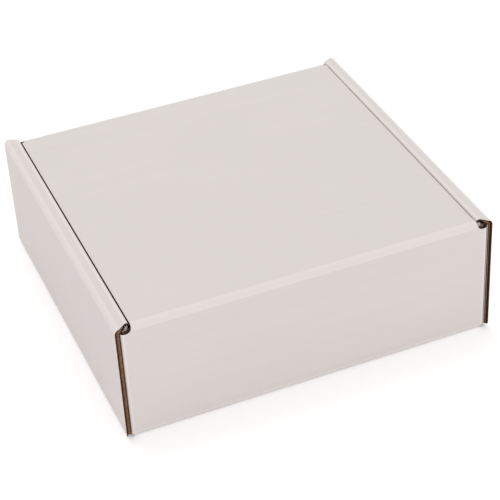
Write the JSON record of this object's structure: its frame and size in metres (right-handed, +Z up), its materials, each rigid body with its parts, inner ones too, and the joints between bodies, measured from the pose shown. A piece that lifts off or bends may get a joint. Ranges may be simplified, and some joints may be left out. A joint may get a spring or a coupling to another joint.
{
  "type": "corrugated mailer box",
  "caption": "White corrugated mailer box with rolled double side walls and a hinged lid whose tuck flap closes inside the front wall.",
  "frame": {"origin": "middle of the underside, on the surface that the box stands on", "axes": "+Z up, +X along the hinge, +Y from the front wall to the rear wall with the hinge"},
  "size_m": [0.24, 0.222, 0.082],
  "materials": {
    "tray_board": "matte white paper-faced corrugated board",
    "lid_board": "matte white paper-faced corrugated board"
  },
  "bodies": {
    "tray": {"tray": "tray_board"},
    "lid": {"lid": "lid_board"}
  },
  "joints": [
    {"name": "lid_hinge", "type": "hinge", "parent": "tray", "child": "lid", "pos_m": [0, 0.1095, 0.0799], "axis": [-1, 0, 0], "range_deg": [0, 180]}
  ]
}
